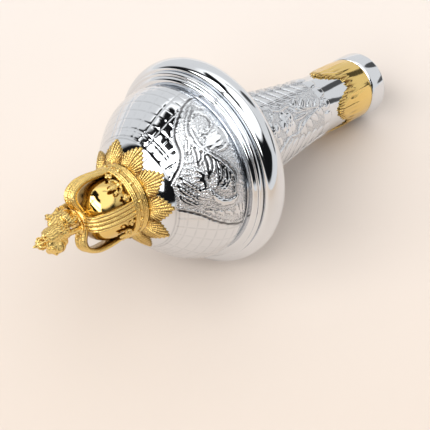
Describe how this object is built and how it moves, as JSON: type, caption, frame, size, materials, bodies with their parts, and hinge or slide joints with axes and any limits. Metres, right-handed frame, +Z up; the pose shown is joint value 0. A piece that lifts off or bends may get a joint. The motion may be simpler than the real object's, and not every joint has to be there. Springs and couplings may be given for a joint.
{
  "type": "ceremonial mace head",
  "caption": "Head of a ceremonial drum major's mace: chased chrome dome and flared neck with a gilt leaf collar, crown and seated lion, open socket for a staff.",
  "frame": {"origin": "under the middle of the head's bounding box, on the surface it lies on", "axes": "+X along the lying head towards the staff's end, -X towards the crown; +Z up; the staff's axis leans 14.5 degrees, crown end up"},
  "size_m": [0.313, 0.14, 0.1358],
  "materials": {
    "chrome": "polished and chased",
    "gilt": "gilt, polished on the high parts"
  },
  "bodies": {
    "root": {"dome": "chrome", "rim": "chrome", "neck": "chrome", "end_ring": "chrome", "leaf_collar": "gilt", "leaf_mount": "gilt", "crown": "gilt", "crown_cap": "gilt", "lion": "gilt"}
  },
  "joints": []
}
